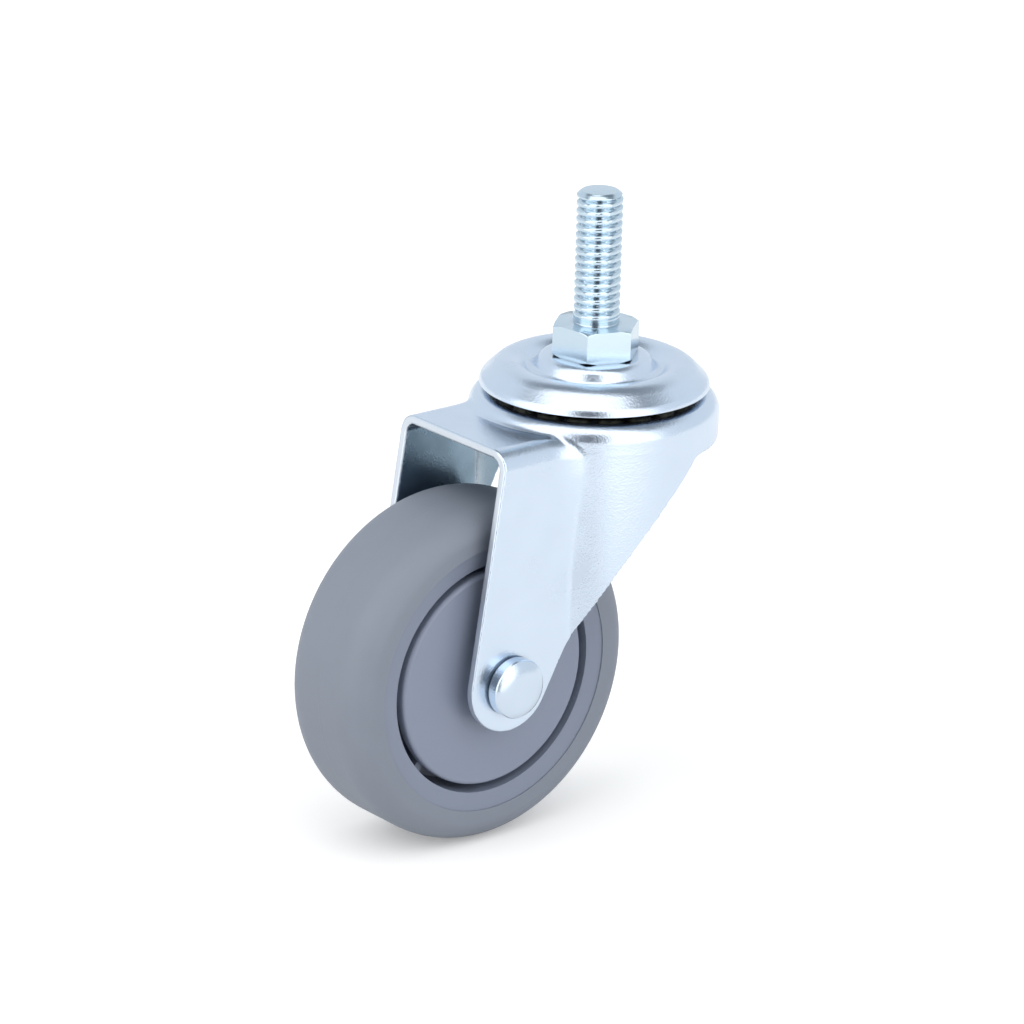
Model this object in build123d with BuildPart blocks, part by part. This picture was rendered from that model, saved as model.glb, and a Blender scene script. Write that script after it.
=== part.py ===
from build123d import *
import os
from math import acos, asin, atan2, copysign, cos, hypot, pi, radians, sin, sqrt, tan

# Swivel castor with a threaded stem: a 75 mm wheel on two ball bearings, in a fork pressed from
# one sheet, which swivels on two rings of balls. Millimetres. The origin is the centre of the
# hexagon's top face, which is the face that meets the furniture. +Z runs up the stem, the wheel
# trails towards -X and its axle lies along Y, so +Y is the left side.

# Overall sizes
wheel_diameter = 75.0
wheel_gap = 12.66
swivel_offset = 35.7

# Threaded stem
thread_diameter = 10.0
stem_length = 29.2
stem_tip_chamfer = 0.8
hex_across_flats = 17.0
hex_height = 7.0
hex_chamfer_angle = 30.0
hex_face_share = 1.05
hex_turn = 39.3
shank_diameter = 12.0
tail_diameter = 9.0
peened_head_diameter = 14.0
peened_head_height = 3.0

# Pressed steel: sheet thicknesses and bends
sheet = 2.0
inside_bend = 2.4
tight_inside_bend = 0.2

# Top cap
cap_diameter = 49.6
cap_edge_reach = 6.3
cap_edge_height = 1.0
cap_dome_slope = 43.0
cap_slope_length = 0.1
cap_valley_bend = 1.3
cap_wall_slope = 60.0
cap_crest_drop = 1.3
cap_rim_drop = 6.5

# Swivel balls
upper_ball_diameter = 6.0
lower_ball_diameter = 4.76
lower_track_radius = 11.0
ball_spacing = 0.35
race_clearance = 0.05

# Fork
crown_diameter = 54.0
crown_shoulder_radius = 3.6
crown_draft = 0.1
crown_draft_overlap = 1.0
crown_hole_clearance = 1.2
crown_face_drop = 1.7
crown_skirt_height = 9.5
shelf_step = 2.49
lower_track_depth = 1.54
fork_width = 35.4
fork_front_reach = 38.7
flare_radius = 10.0
leg_end_radius = 10.4
leg_front_knee = 3.4
leg_front_knee_radius = 25.0
leg_rear_knee_reach = 9.0
leg_rear_knee_drop = 15.75
leg_rear_knee_radius = 98.0
skirt_corner_reach = 7.2
skirt_corner_radius = 3.0

# Lower race
lower_race_diameter = 34.0
lower_race_lip = 1.6
lower_race_bend = 1.4
lower_race_face_drop = 1.6

# Axle
axle_diameter = 8.0
axle_head_diameter = 13.0
axle_head_rim = 2.9
axle_head_dome = 1.5
axle_head_chamfer = 0.6
formed_head_diameter = 12.4
formed_head_height = 2.6
axle_clearance = 0.05
spacer_diameter = 12.0

# Wheel
tread_width = 25.0
tread_flat = 11.5
tread_side_height = 2.6
core_diameter = 59.6
core_rim_width = 24.4
core_rim_inner_width = 23.2
recess_diameter = 51.8
recess_draft = 0.6
web_thickness = 5.0
hub_diameter = 27.0
rib_count = 8
rib_thickness = 2.0
rib_depth_below_rim = 3.0

# Dust covers
cover_gap = 1.8
cover_thickness = 1.6
cover_face_width = 23.8
cover_edge_depth = 2.6
cover_edge_round = 0.9
cover_hole_clearance = 0.8
cover_plug_thickness = 1.4
cover_plug_clearance = 0.05

# Wheel bearings
bearing_diameter = 22.0
bearing_width = 7.0
bearing_gap = 4.0
bearing_ball_diameter = 3.969
bearing_ball_count = 7
bearing_land_offset = 1.45
bearing_shoulder_diameter = 19.2
shield_thickness = 0.35
shield_recess_diameter = 20.0
shield_recess_depth = 0.8
shield_clearance = 0.15
cage_thickness = 1.2
cage_back = 2.5
cage_front = 1.2
cage_clearance = 0.1

# Worked out from the sizes above
thread_radius = thread_diameter / 2
shank_radius = shank_diameter / 2
tail_radius = tail_diameter / 2
hex_bottom = -hex_height
bend = sheet + inside_bend
tight_bend = sheet + tight_inside_bend

upper_ball_radius = upper_ball_diameter / 2
upper_race_radius = upper_ball_radius + race_clearance
upper_ball_z = hex_bottom - cap_crest_drop - sheet - upper_race_radius
cap_radius = cap_diameter / 2
upper_track_radius = cap_radius - cap_edge_reach
upper_ball_count = int(2 * pi * upper_track_radius / (upper_ball_diameter + ball_spacing))

crown_radius = crown_diameter / 2
crown_face_z = upper_ball_z - crown_face_drop
crown_under_z = crown_face_z - sheet
crown_hole_radius = shank_radius + crown_hole_clearance
skirt_z = crown_face_z - crown_skirt_height
shelf_z = crown_face_z - shelf_step

lower_ball_radius = lower_ball_diameter / 2
lower_race_radius = lower_ball_radius + race_clearance
lower_ball_z = crown_under_z - lower_track_depth
lower_ball_count = int(2 * pi * lower_track_radius / (lower_ball_diameter + ball_spacing))
lower_race_z = lower_ball_z - lower_race_face_drop
tail_z = lower_race_z - sheet

wheel_radius = wheel_diameter / 2
axle_x = -swivel_offset
axle_z = shelf_z - sheet - wheel_gap - wheel_radius
axle_radius = axle_diameter / 2
bore_radius = axle_radius + axle_clearance
fork_half = fork_width / 2
channel_length = swivel_offset + 2 * leg_end_radius
cut_length = 2 * crown_diameter
fork_inner_half = fork_half - sheet
front_x = -fork_front_reach

bearing_radius = bearing_diameter / 2
bearing_centre = (bearing_gap + bearing_width) / 2
bearing_inner_face = bearing_gap / 2
bearing_outer_face = bearing_inner_face + bearing_width
bearing_ball_radius = bearing_ball_diameter / 2
bearing_pitch_radius = (axle_radius + bearing_radius) / 2
spacer_radius = spacer_diameter / 2
cover_face = cover_face_width / 2
cover_back = cover_face - cover_thickness

# Planes and axes
axle_centre = Vector(axle_x, 0, axle_z)
axle_axis = Axis(axle_centre, (0, 1, 0))
section = Plane.XZ                                                       # radius, height
wheel_section = Plane(axle_centre, x_dir=(0, 1, 0), z_dir=(1, 0, 0))      # along axle, radius


def save(piece, name):
    """Label a finished piece and write it to its own file."""
    piece.part.label = name
    export_step(piece.part, f"parts/{name}.step")


def pressed_profile(*points, radius):
    """Face of a pressed sheet, whose upper side runs through the points from the axis out."""
    headings = [atan2(b[1] - a[1], b[0] - a[0]) for a, b in zip(points, points[1:])]
    turns = [after - before for before, after in zip(headings, headings[1:])]
    normals = [before + turn / 2 - pi / 2 for before, turn in zip(headings, turns)]
    depths = [sheet / cos(turn / 2) for turn in turns]
    ways = zip([headings[0] - pi / 2, *normals, headings[-1] - pi / 2], [sheet, *depths, sheet])
    under = [(x + far * cos(way), z + far * sin(way)) for (x, z), (way, far) in zip(points, ways)]
    under_radius = [r + copysign(sheet, turn) for r, turn in zip(radius, turns)]
    with BuildLine() as outline:
        FilletPolyline(*points, radius=radius)
        FilletPolyline(*under, radius=under_radius)
        Line(points[0], under[0])
        Line(points[-1], under[-1])
    make_face(outline.edges())


def tangent_point(point, centre, radius, side):
    """Where a line from the point touches a circle, on its left (1) or right (-1) side."""
    dx = centre[0] - point[0]
    dz = centre[1] - point[1]
    distance = hypot(dx, dz)
    turn = side * asin(radius / distance)
    heading = atan2(dz, dx) + turn
    reach = sqrt(distance**2 - radius**2)
    return (point[0] + reach * cos(heading), point[1] + reach * sin(heading))


os.makedirs("parts", exist_ok=True)

# Threaded stem: thread, hexagon collar, shank and peened tail are one turned piece. The thread
# is a plain cylinder of its outside diameter here.
hex_face_radius = hex_face_share * hex_across_flats / 2
hex_chamfer_height = hex_height / 2
hex_chamfer_radius = hex_face_radius + hex_chamfer_height / tan(radians(hex_chamfer_angle))
peened_pole = tail_z - peened_head_height

with BuildPart() as threaded_stem:
    with BuildSketch(Plane.XY.offset(hex_bottom)):
        RegularPolygon(hex_across_flats / 2, 6, major_radius=False, rotation=hex_turn)
    extrude(amount=hex_height)
    with BuildSketch(section):
        Polygon(
            (0, 0),
            (hex_face_radius, 0),
            (hex_chamfer_radius, -hex_chamfer_height),
            (hex_face_radius, hex_bottom),
            (0, hex_bottom),
            align=None,
        )
    revolve(axis=Axis.Z, mode=Mode.INTERSECT)
    with BuildSketch(section):
        Polygon(
            (0, stem_length),
            (thread_radius - stem_tip_chamfer, stem_length),
            (thread_radius, stem_length - stem_tip_chamfer),
            (thread_radius, hex_bottom / 2),
            (shank_radius, hex_bottom / 2),
            (shank_radius, lower_race_z),
            (tail_radius, lower_race_z),
            (tail_radius, tail_z),
            (0, tail_z),
            align=None,
        )
    revolve(axis=Axis.Z)
    with BuildSketch(section):
        with BuildLine():
            Line((0, tail_z), (peened_head_diameter / 2, tail_z))
            TangentArc((0, peened_pole), (peened_head_diameter / 2, tail_z), tangent=(1, 0))
            Line((0, peened_pole), (0, tail_z))
        make_face()
    revolve(axis=Axis.Z)
save(threaded_stem, "threaded_stem")

# Top cap: its dome wraps the upper balls, so the dome's outside is one sheet beyond the race. Its
# outer slope runs from the rim's shoulder and touches that circle, its inner slope has a set
# angle, and the corner where the two slopes meet is what the circle rounds. The valley lies a
# set length further down the inner slope.
cap_crest_radius = upper_race_radius + sheet
cap_rim_z = hex_bottom - cap_rim_drop
cap_shoulder_z = cap_rim_z + cap_edge_height
inner_slope = radians(cap_dome_slope)
wall_slope = radians(cap_wall_slope)
shoulder_rise = cap_shoulder_z - upper_ball_z
outer_normal = atan2(shoulder_rise, cap_edge_reach) + acos(
    cap_crest_radius / hypot(cap_edge_reach, shoulder_rise)
)
half_turn = (pi / 2 + inner_slope - outer_normal) / 2
apex_distance = cap_crest_radius / cos(half_turn)
apex_x = upper_track_radius + apex_distance * cos(outer_normal + half_turn)
apex_z = upper_ball_z + apex_distance * sin(outer_normal + half_turn)
slope_run = (
    cap_crest_radius * tan(half_turn)
    + cap_slope_length
    + cap_valley_bend * tan((inner_slope + wall_slope) / 2)
)
valley_x = apex_x - slope_run * cos(inner_slope)
valley_z = apex_z - slope_run * sin(inner_slope)
plateau_x = valley_x - (hex_bottom - valley_z) / tan(wall_slope)

with BuildPart() as top_cap:
    with BuildSketch(section):
        pressed_profile(
            (shank_radius, hex_bottom),
            (plateau_x, hex_bottom),
            (valley_x, valley_z),
            (apex_x, apex_z),
            (cap_radius, cap_shoulder_z),
            (cap_radius, cap_rim_z),
            radius=[tight_bend, cap_valley_bend, cap_crest_radius, tight_bend],
        )
    revolve(axis=Axis.Z)
save(top_cap, "top_cap")

# Loose balls of the two swivel races
with BuildPart(Plane.XY.offset(upper_ball_z)) as upper_balls:
    with PolarLocations(upper_track_radius, upper_ball_count):
        Sphere(upper_ball_radius)
save(upper_balls, "upper_balls")

with BuildPart(Plane.XY.offset(lower_ball_z)) as lower_balls:
    with PolarLocations(lower_track_radius, lower_ball_count):
        Sphere(lower_ball_radius)
save(lower_balls, "lower_balls")

# Lower race: a cup with a turned-up lip, seated on the step of the shank and held by the tail
lower_race_edge = lower_race_diameter / 2

with BuildPart() as lower_race:
    with BuildSketch(section):
        pressed_profile(
            (tail_radius, lower_race_z),
            (lower_race_edge - sheet, lower_race_z),
            (lower_race_edge - sheet, lower_race_z + lower_race_lip),
            radius=[lower_race_bend],
        )
    revolve(axis=Axis.Z)
    with BuildSketch(section):
        with Locations((lower_track_radius, lower_ball_z)):
            Circle(lower_race_radius + sheet)
        with Locations((lower_track_radius, lower_race_z)):
            Rectangle(
                2 * lower_race_edge, 2 * lower_race_edge, align=(Align.CENTER, Align.MIN),
                mode=Mode.SUBTRACT,
            )
    revolve(axis=Axis.Z)
    with Locations((0, 0, lower_ball_z)):
        Torus(lower_track_radius, lower_race_radius, mode=Mode.SUBTRACT)
save(lower_race, "lower_race")


def fork_form(inset):
    """The fork's outside, or the hollow inside it when inset by the sheet's thickness."""
    half = fork_half - inset
    radius = crown_radius - inset
    top = crown_face_z - inset
    with BuildPart() as form:
        # Shelf, legs and skirt: a channel that flares out into the crown's circle
        with BuildSketch(Plane.XY.offset(shelf_z - inset)):
            Rectangle(channel_length + inset, 2 * half, align=(Align.MAX, Align.CENTER))
            Circle(radius)
            fillet(vertices().group_by(Axis.X)[1], flare_radius + inset)
        extrude(amount=axle_z - leg_end_radius - shelf_z)
        top_edges = faces().sort_by(Axis.Z)[-1].edges().sort_by(Axis.X)[1:]
        fillet(top_edges, bend - inset)
        # Crown: its wall leans in a little from the shoulder down, as a drawn wall does, and
        # passes through the skirt's wall just below the bend
        low = 2 * (shelf_z - bend - crown_draft_overlap) - top
        with BuildSketch(section):
            with BuildLine():
                FilletPolyline(
                    (0, top),
                    (radius + crown_draft, top),
                    (radius - crown_draft, low),
                    (0, low),
                    radius=[crown_shoulder_radius - inset, 0],
                )
                Line((0, low), (0, top))
            make_face()
        revolve(axis=Axis.Z)
    return form.part


# Side view of the fork: the rear edge sweeps from the leg's end up to the crown's skirt
leg_end = (axle_x, axle_z)
front_knee = (front_x, shelf_z - leg_front_knee)
rear_knee = (-leg_rear_knee_reach, skirt_z - leg_rear_knee_drop)
front_touch = tangent_point(front_knee, leg_end, leg_end_radius, -1)
rear_touch = tangent_point(rear_knee, leg_end, leg_end_radius, 1)

# Inside the crown, the upper balls' groove stands out of the ceiling as a ridge
with BuildPart() as fork_hollow:
    add(fork_form(sheet))
    with Locations((0, 0, upper_ball_z)):
        Torus(upper_track_radius, upper_race_radius + sheet, mode=Mode.SUBTRACT)

with BuildPart() as fork:
    add(fork_form(0))
    # Pressed from below, the lower balls' groove shows as a ridge on the crown's top
    with Locations((0, 0, lower_ball_z)):
        Torus(lower_track_radius, lower_race_radius + sheet)
    add(fork_hollow.part, mode=Mode.SUBTRACT)
    with Locations((0, 0, upper_ball_z)):
        Torus(upper_track_radius, upper_race_radius, mode=Mode.SUBTRACT)
    with Locations((0, 0, lower_ball_z)):
        Torus(lower_track_radius, lower_race_radius, mode=Mode.SUBTRACT)
    with Locations((0, 0, crown_face_z)):
        Cylinder(crown_hole_radius, cut_length, mode=Mode.SUBTRACT)
    # Side outline of the legs and the skirt
    with BuildSketch(section):
        with BuildLine():
            FilletPolyline(
                rear_touch,
                rear_knee,
                (skirt_corner_reach, skirt_z),
                (cut_length, skirt_z),
                radius=[leg_rear_knee_radius, skirt_corner_radius],
            )
            FilletPolyline(
                (cut_length, skirt_z),
                (cut_length, 0),
                (front_x, 0),
                front_knee,
                front_touch,
                radius=[0, 0, leg_front_knee_radius],
            )
            ThreePointArc(front_touch, (axle_x, axle_z - leg_end_radius), rear_touch)
        make_face()
    extrude(amount=cut_length, both=True, mode=Mode.INTERSECT)
    with Locations(Location(axle_centre, (90, 0, 0))):
        Cylinder(bore_radius, cut_length, mode=Mode.SUBTRACT)
save(fork, "fork")

# Axle rivet: domed head on the right, formed head on the left
near_face = -fork_half
head_radius = axle_head_diameter / 2
head_rim = near_face - axle_head_rim
head_pole = head_rim - axle_head_dome
formed_pole = fork_half + formed_head_height

with BuildPart() as axle_rivet:
    with BuildSketch(wheel_section):
        with BuildLine():
            TangentArc((head_pole, 0), (head_rim, head_radius), tangent=(0, 1))
            Polyline(
                (head_rim, head_radius),
                (near_face - axle_head_chamfer, head_radius),
                (near_face, head_radius - axle_head_chamfer),
                (near_face, axle_radius),
                (fork_half, axle_radius),
                (fork_half, formed_head_diameter / 2),
            )
            TangentArc((formed_pole, 0), (fork_half, formed_head_diameter / 2), tangent=(0, 1))
            Line((formed_pole, 0), (head_pole, 0))
        make_face()
    revolve(axis=axle_axis)
save(axle_rivet, "axle_rivet")

# Wheel core: rim, web, ribs and hub are one moulding, the same on both sides
core_radius = core_diameter / 2
recess_radius = recess_diameter / 2
hub_radius = hub_diameter / 2
web_half = web_thickness / 2
land_outer_radius = bearing_pitch_radius + bearing_land_offset
hub_lip_radius = bearing_shoulder_diameter / 2

with BuildPart() as wheel_core:
    with BuildSketch(wheel_section):
        Polygon(
            (0, hub_lip_radius),
            (bearing_inner_face, hub_lip_radius),
            (bearing_inner_face, bearing_radius),
            (cover_back, bearing_radius),
            (cover_back, hub_radius - recess_draft),
            (web_half, hub_radius),
            (web_half, recess_radius - recess_draft),
            (core_rim_inner_width / 2, recess_radius),
            (core_rim_width / 2, core_radius),
            (0, core_radius),
            align=None,
        )
        mirror(about=Plane.YZ)
    revolve(axis=axle_axis)
    with BuildSketch(Plane(axle_centre, x_dir=(1, 0, 0), z_dir=(0, 1, 0))):
        with PolarLocations((hub_radius + recess_radius) / 2 - recess_draft, rib_count):
            Rectangle(recess_radius - hub_radius, rib_thickness)
    extrude(amount=core_rim_inner_width / 2 - rib_depth_below_rim, both=True)
save(wheel_core, "wheel_core")

# Tread: flat in the middle and at its sides, with elliptical shoulders between
shoulder_radius = core_radius + tread_side_height
with BuildPart() as tread:
    with BuildSketch(wheel_section):
        with BuildLine():
            Polyline(
                (0, wheel_radius),
                (0, core_radius),
                (tread_width / 2, core_radius),
                (tread_width / 2, shoulder_radius),
            )
            EllipticalCenterArc(
                (tread_flat / 2, shoulder_radius),
                (tread_width - tread_flat) / 2,
                wheel_radius - shoulder_radius,
                0,
                arc_size=90,
            )
            Line((tread_flat / 2, wheel_radius), (0, wheel_radius))
        make_face()
        mirror(about=Plane.YZ)
    revolve(axis=axle_axis)
save(tread, "tread")

# Centre spacer between the two inner rings
with BuildPart() as centre_spacer:
    with BuildSketch(wheel_section):
        with Locations((0, bore_radius)):
            Rectangle(bearing_gap, spacer_radius - bore_radius, align=(Align.CENTER, Align.MIN))
    revolve(axis=axle_axis)
save(centre_spacer, "centre_spacer")

# The rest of the wheel's inside comes in pairs, left and right of its middle plane
land_inner_radius = bearing_pitch_radius - bearing_land_offset
shield_radius = shield_recess_diameter / 2
shield_inner_radius = land_inner_radius + shield_clearance
bearing_race_radius = bearing_ball_radius + race_clearance
plug_radius = bearing_radius - cover_plug_clearance
half_bearing = bearing_width / 2

for side, sign in (("left", 1), ("right", -1)):
    middle = sign * bearing_centre

    with BuildPart() as inner_ring:
        with BuildSketch(wheel_section):
            with Locations((middle, bore_radius)):
                Rectangle(
                    bearing_width, land_inner_radius - bore_radius,
                    align=(Align.CENTER, Align.MIN),
                )
            with Locations((middle, bearing_pitch_radius)):
                Circle(bearing_race_radius, mode=Mode.SUBTRACT)
        revolve(axis=axle_axis)
    save(inner_ring, f"{side}_inner_ring")

    with BuildPart() as outer_ring:
        with BuildSketch(wheel_section):
            with Locations((middle, bearing_radius)):
                Rectangle(
                    bearing_width, bearing_radius - land_outer_radius,
                    align=(Align.CENTER, Align.MAX),
                )
            with Locations((middle, bearing_pitch_radius)):
                Circle(bearing_race_radius, mode=Mode.SUBTRACT)
            with Locations(
                (middle - half_bearing, shield_radius),
                (middle + half_bearing, shield_radius),
            ):
                Rectangle(
                    2 * shield_recess_depth, shield_radius - land_inner_radius,
                    align=(Align.CENTER, Align.MAX), mode=Mode.SUBTRACT,
                )
        revolve(axis=axle_axis)
    save(outer_ring, f"{side}_outer_ring")

    with BuildPart() as shields:
        shield_place = half_bearing - shield_recess_depth + shield_thickness / 2
        with BuildSketch(wheel_section):
            with Locations(
                (middle - shield_place, shield_radius),
                (middle + shield_place, shield_radius),
            ):
                Rectangle(
                    shield_thickness, shield_radius - shield_inner_radius,
                    align=(Align.CENTER, Align.MAX),
                )
        revolve(axis=axle_axis)
    save(shields, f"{side}_shields")

    ball_plane = Plane(axle_centre + Vector(0, middle, 0), x_dir=(1, 0, 0), z_dir=(0, 1, 0))
    with BuildPart(ball_plane) as bearing_balls:
        with PolarLocations(bearing_pitch_radius, bearing_ball_count):
            Sphere(bearing_ball_radius)
    save(bearing_balls, f"{side}_bearing_balls")

    with BuildPart(ball_plane) as cage:
        with BuildSketch(ball_plane.offset(-sign * cage_back)):
            Circle(bearing_pitch_radius + cage_thickness / 2)
            Circle(bearing_pitch_radius - cage_thickness / 2, mode=Mode.SUBTRACT)
        extrude(amount=sign * (cage_back + cage_front))
        with PolarLocations(bearing_pitch_radius, bearing_ball_count):
            Sphere(bearing_ball_radius + cage_clearance, mode=Mode.SUBTRACT)
    save(cage, f"{side}_cage")

    with BuildPart() as spacer:
        with BuildSketch(wheel_section):
            with Locations((sign * (bearing_outer_face + fork_inner_half) / 2, bore_radius)):
                Rectangle(
                    fork_inner_half - bearing_outer_face, spacer_radius - bore_radius,
                    align=(Align.CENTER, Align.MIN),
                )
        revolve(axis=axle_axis)
    save(spacer, f"{side}_spacer")

    # Dust cover: a disc with a turned-in edge, plugged into the hub's mouth
    with BuildPart() as cover:
        cover_radius = recess_radius - cover_gap
        with BuildSketch(wheel_section):
            Polygon(
                (sign * cover_face, spacer_radius + cover_hole_clearance),
                (sign * cover_face, cover_radius),
                (sign * (cover_face - cover_edge_depth), cover_radius),
                (sign * (cover_face - cover_edge_depth), cover_radius - cover_thickness),
                (sign * cover_back, cover_radius - cover_thickness),
                (sign * cover_back, plug_radius),
                (sign * bearing_outer_face, plug_radius),
                (sign * bearing_outer_face, plug_radius - cover_plug_thickness),
                (sign * cover_back, plug_radius - cover_plug_thickness),
                (sign * cover_back, spacer_radius + cover_hole_clearance),
                align=None,
            )
        revolve(axis=axle_axis)
        face_edges = edges().filter_by(GeomType.CIRCLE).group_by(Axis.Y)[-1 if sign > 0 else 0]
        fillet(face_edges.sort_by(SortBy.RADIUS)[-1], cover_edge_round)
    save(cover, f"{side}_cover")
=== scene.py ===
# %% [markdown]
# # A swivel castor, dressed around its CAD model
# The castor is a grey wheel in a fork pressed from one steel sheet. The fork swivels on two rings
# of balls under a pressed cap, on a stem with a rolled thread and a hexagon collar. The CAD model
# brings every piece at its real size, and this file gives each of them its finish, adds what CAD
# left plain (the thread, the softness of pressed steel), and sets up the photographer's studio.

# %% Load the frame
import math

import bmesh
import bpy
import numpy as np
from mathutils import Matrix, Vector


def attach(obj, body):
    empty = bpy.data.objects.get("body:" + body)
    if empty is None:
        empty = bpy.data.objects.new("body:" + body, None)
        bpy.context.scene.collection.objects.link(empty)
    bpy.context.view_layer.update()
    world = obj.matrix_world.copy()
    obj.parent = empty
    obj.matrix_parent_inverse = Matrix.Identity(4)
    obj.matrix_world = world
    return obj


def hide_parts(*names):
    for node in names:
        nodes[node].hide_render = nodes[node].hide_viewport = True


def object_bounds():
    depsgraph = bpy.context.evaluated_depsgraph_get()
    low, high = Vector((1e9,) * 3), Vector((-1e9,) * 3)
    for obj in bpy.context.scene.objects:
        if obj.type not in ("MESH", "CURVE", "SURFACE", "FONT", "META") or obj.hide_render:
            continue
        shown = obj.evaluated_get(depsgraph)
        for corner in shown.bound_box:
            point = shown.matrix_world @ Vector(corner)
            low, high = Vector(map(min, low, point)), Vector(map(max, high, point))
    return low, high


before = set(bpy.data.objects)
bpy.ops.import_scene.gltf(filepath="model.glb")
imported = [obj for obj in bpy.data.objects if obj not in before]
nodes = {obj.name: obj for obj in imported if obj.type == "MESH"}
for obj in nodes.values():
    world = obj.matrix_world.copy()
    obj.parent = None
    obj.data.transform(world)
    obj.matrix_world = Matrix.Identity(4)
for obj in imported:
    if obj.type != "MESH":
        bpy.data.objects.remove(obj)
cad_low, cad_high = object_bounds()
mm = 0.001
scene = bpy.context.scene
scene.view_settings.view_transform = "Standard"
print("CAD box in mm:", [round(c / mm, 1) for c in (*cad_low, *cad_high)])

# %% [markdown]
# ## The camera
# The photograph was taken from the front left, a little above the castor, with a long lens. Four
# numbers place such a camera: the direction it looks from, its height, its distance and its lens.
# A small roll is added, because the picture leans a little. The aim says at which pixel of a
# 1024 by 1024 picture a known point of the castor lies, so no lens shift is needed.

# %% Camera
camera_azimuth = math.radians(-40.57)
camera_elevation = math.radians(20.34)
camera_roll = math.radians(1.83)
camera_distance = 1142.9 * mm
aim_point = Vector((0, 0, -60.47 * mm))
aim_pixel = (587.8, 586.6)
picture_size = 1024
focal_pixels = 5253


def camera_matrix():
    """Where the camera stands and how it is turned, so that the aim point falls on its pixel."""
    sin_a, cos_a = math.sin(camera_azimuth), math.cos(camera_azimuth)
    sin_e, cos_e = math.sin(camera_elevation), math.cos(camera_elevation)
    back = Vector((sin_a * cos_e, -cos_a * cos_e, sin_e))
    right = Vector((cos_a, sin_a, 0))
    level = Matrix((right, back.cross(right), back))
    roll = Matrix.Rotation(-camera_roll, 3, "Z")
    middle = picture_size / 2
    aside, above = aim_pixel[0] - middle, middle - aim_pixel[1]
    ray = Vector((aside / focal_pixels, above / focal_pixels, -1))
    swing = Vector((0, 0, -1)).rotation_difference(ray).to_matrix()
    turned = (swing @ roll @ level).transposed().to_4x4()
    return Matrix.Translation(aim_point + camera_distance * back) @ turned


camera = bpy.data.objects.new("camera", bpy.data.cameras.new("camera"))
scene.collection.objects.link(camera)
camera.matrix_world = camera_matrix()
camera.data.lens = focal_pixels / picture_size * camera.data.sensor_width
camera.data.clip_end = 100
scene.camera = camera
print("lens in mm:", round(camera.data.lens, 1))

# %% [markdown]
# ## Shader groups
# Two effects are used by more than one finish, so each is a node group, built once. `plated_skin`
# is what electroplating leaves on steel: a slightly cloudy tint, uneven gloss and the fine orange
# peel of the sheet below; it also paints shade into crevices, darkening the tint where ambient
# occlusion finds them. `moulded_skin` is the same idea for rubber and plastic: faint clouds of
# colour and a fine matt grain. Both read Object coordinates, so nothing slides when a piece moves.
# The helpers come first; they also build the Geometry Nodes tree of the stem further on.

# %% Helpers for node trees
def new_group(name, inputs, outputs):
    """A shader group with named float or colour sockets, and its input and output nodes."""
    group = bpy.data.node_groups.new(name, "ShaderNodeTree")
    for socket, kind, value in inputs:
        made = group.interface.new_socket(socket, in_out="INPUT", socket_type=kind)
        made.default_value = value
    for socket, kind in outputs:
        group.interface.new_socket(socket, in_out="OUTPUT", socket_type=kind)
    return group, group.nodes.new("NodeGroupInput"), group.nodes.new("NodeGroupOutput")


def wire(tree, kind, settings=None, **links):
    """A node of that kind. Links name its inputs: a socket is linked, a plain value is set."""
    node = tree.nodes.new(kind)
    for name, value in (settings or {}).items():
        setattr(node, name, value)
    for name, value in links.items():
        key = int(name[1:]) if name[0] == "_" else name.replace("_", " ")
        if isinstance(value, bpy.types.NodeSocket):
            tree.links.new(value, node.inputs[key])
        else:
            node.inputs[key].default_value = value
    return node


def calculate(tree, operation, *values):
    """The result of a math node on those values, which are sockets or plain numbers."""
    links = {f"_{i}": value for i, value in enumerate(values)}
    return wire(tree, "ShaderNodeMath", {"operation": operation}, **links).outputs[0]


def scaled(tree, vector, factor):
    """A vector or colour times a number."""
    return wire(
        tree, "ShaderNodeVectorMath", {"operation": "SCALE"}, _0=vector, Scale=factor
    ).outputs[0]


def remap(tree, value, low, high, to_low=0.0, to_high=1.0, kind="LINEAR"):
    """Where the value lies between low and high, as a number between to_low and to_high."""
    return wire(
        tree, "ShaderNodeMapRange", {"interpolation_type": kind}, Value=value, From_Min=low,
        From_Max=high, To_Min=to_low, To_Max=to_high,
    ).outputs[0]


def faded(tree, pattern, amount):
    """1 where the pattern is 0, and less by that amount where it is 1."""
    return calculate(tree, "SUBTRACT", 1.0, calculate(tree, "MULTIPLY", pattern, amount))


def grain_noise(tree, place, size, detail):
    """Noise whose grains measure that many mm, given as a socket."""
    fine = calculate(tree, "DIVIDE", 1 / mm, size)
    return wire(tree, "ShaderNodeTexNoise", Vector=place, Scale=fine, Detail=detail).outputs["Fac"]


skin_outputs = [
    ("Color", "NodeSocketColor"), ("Roughness", "NodeSocketFloat"), ("Normal", "NodeSocketVector"),
]
grain_height = 0.05 * mm


# %% Plated skin
# How far the painted crevice shade looks for surfaces close by
painted_shade_reach = 2.5 * mm


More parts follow.
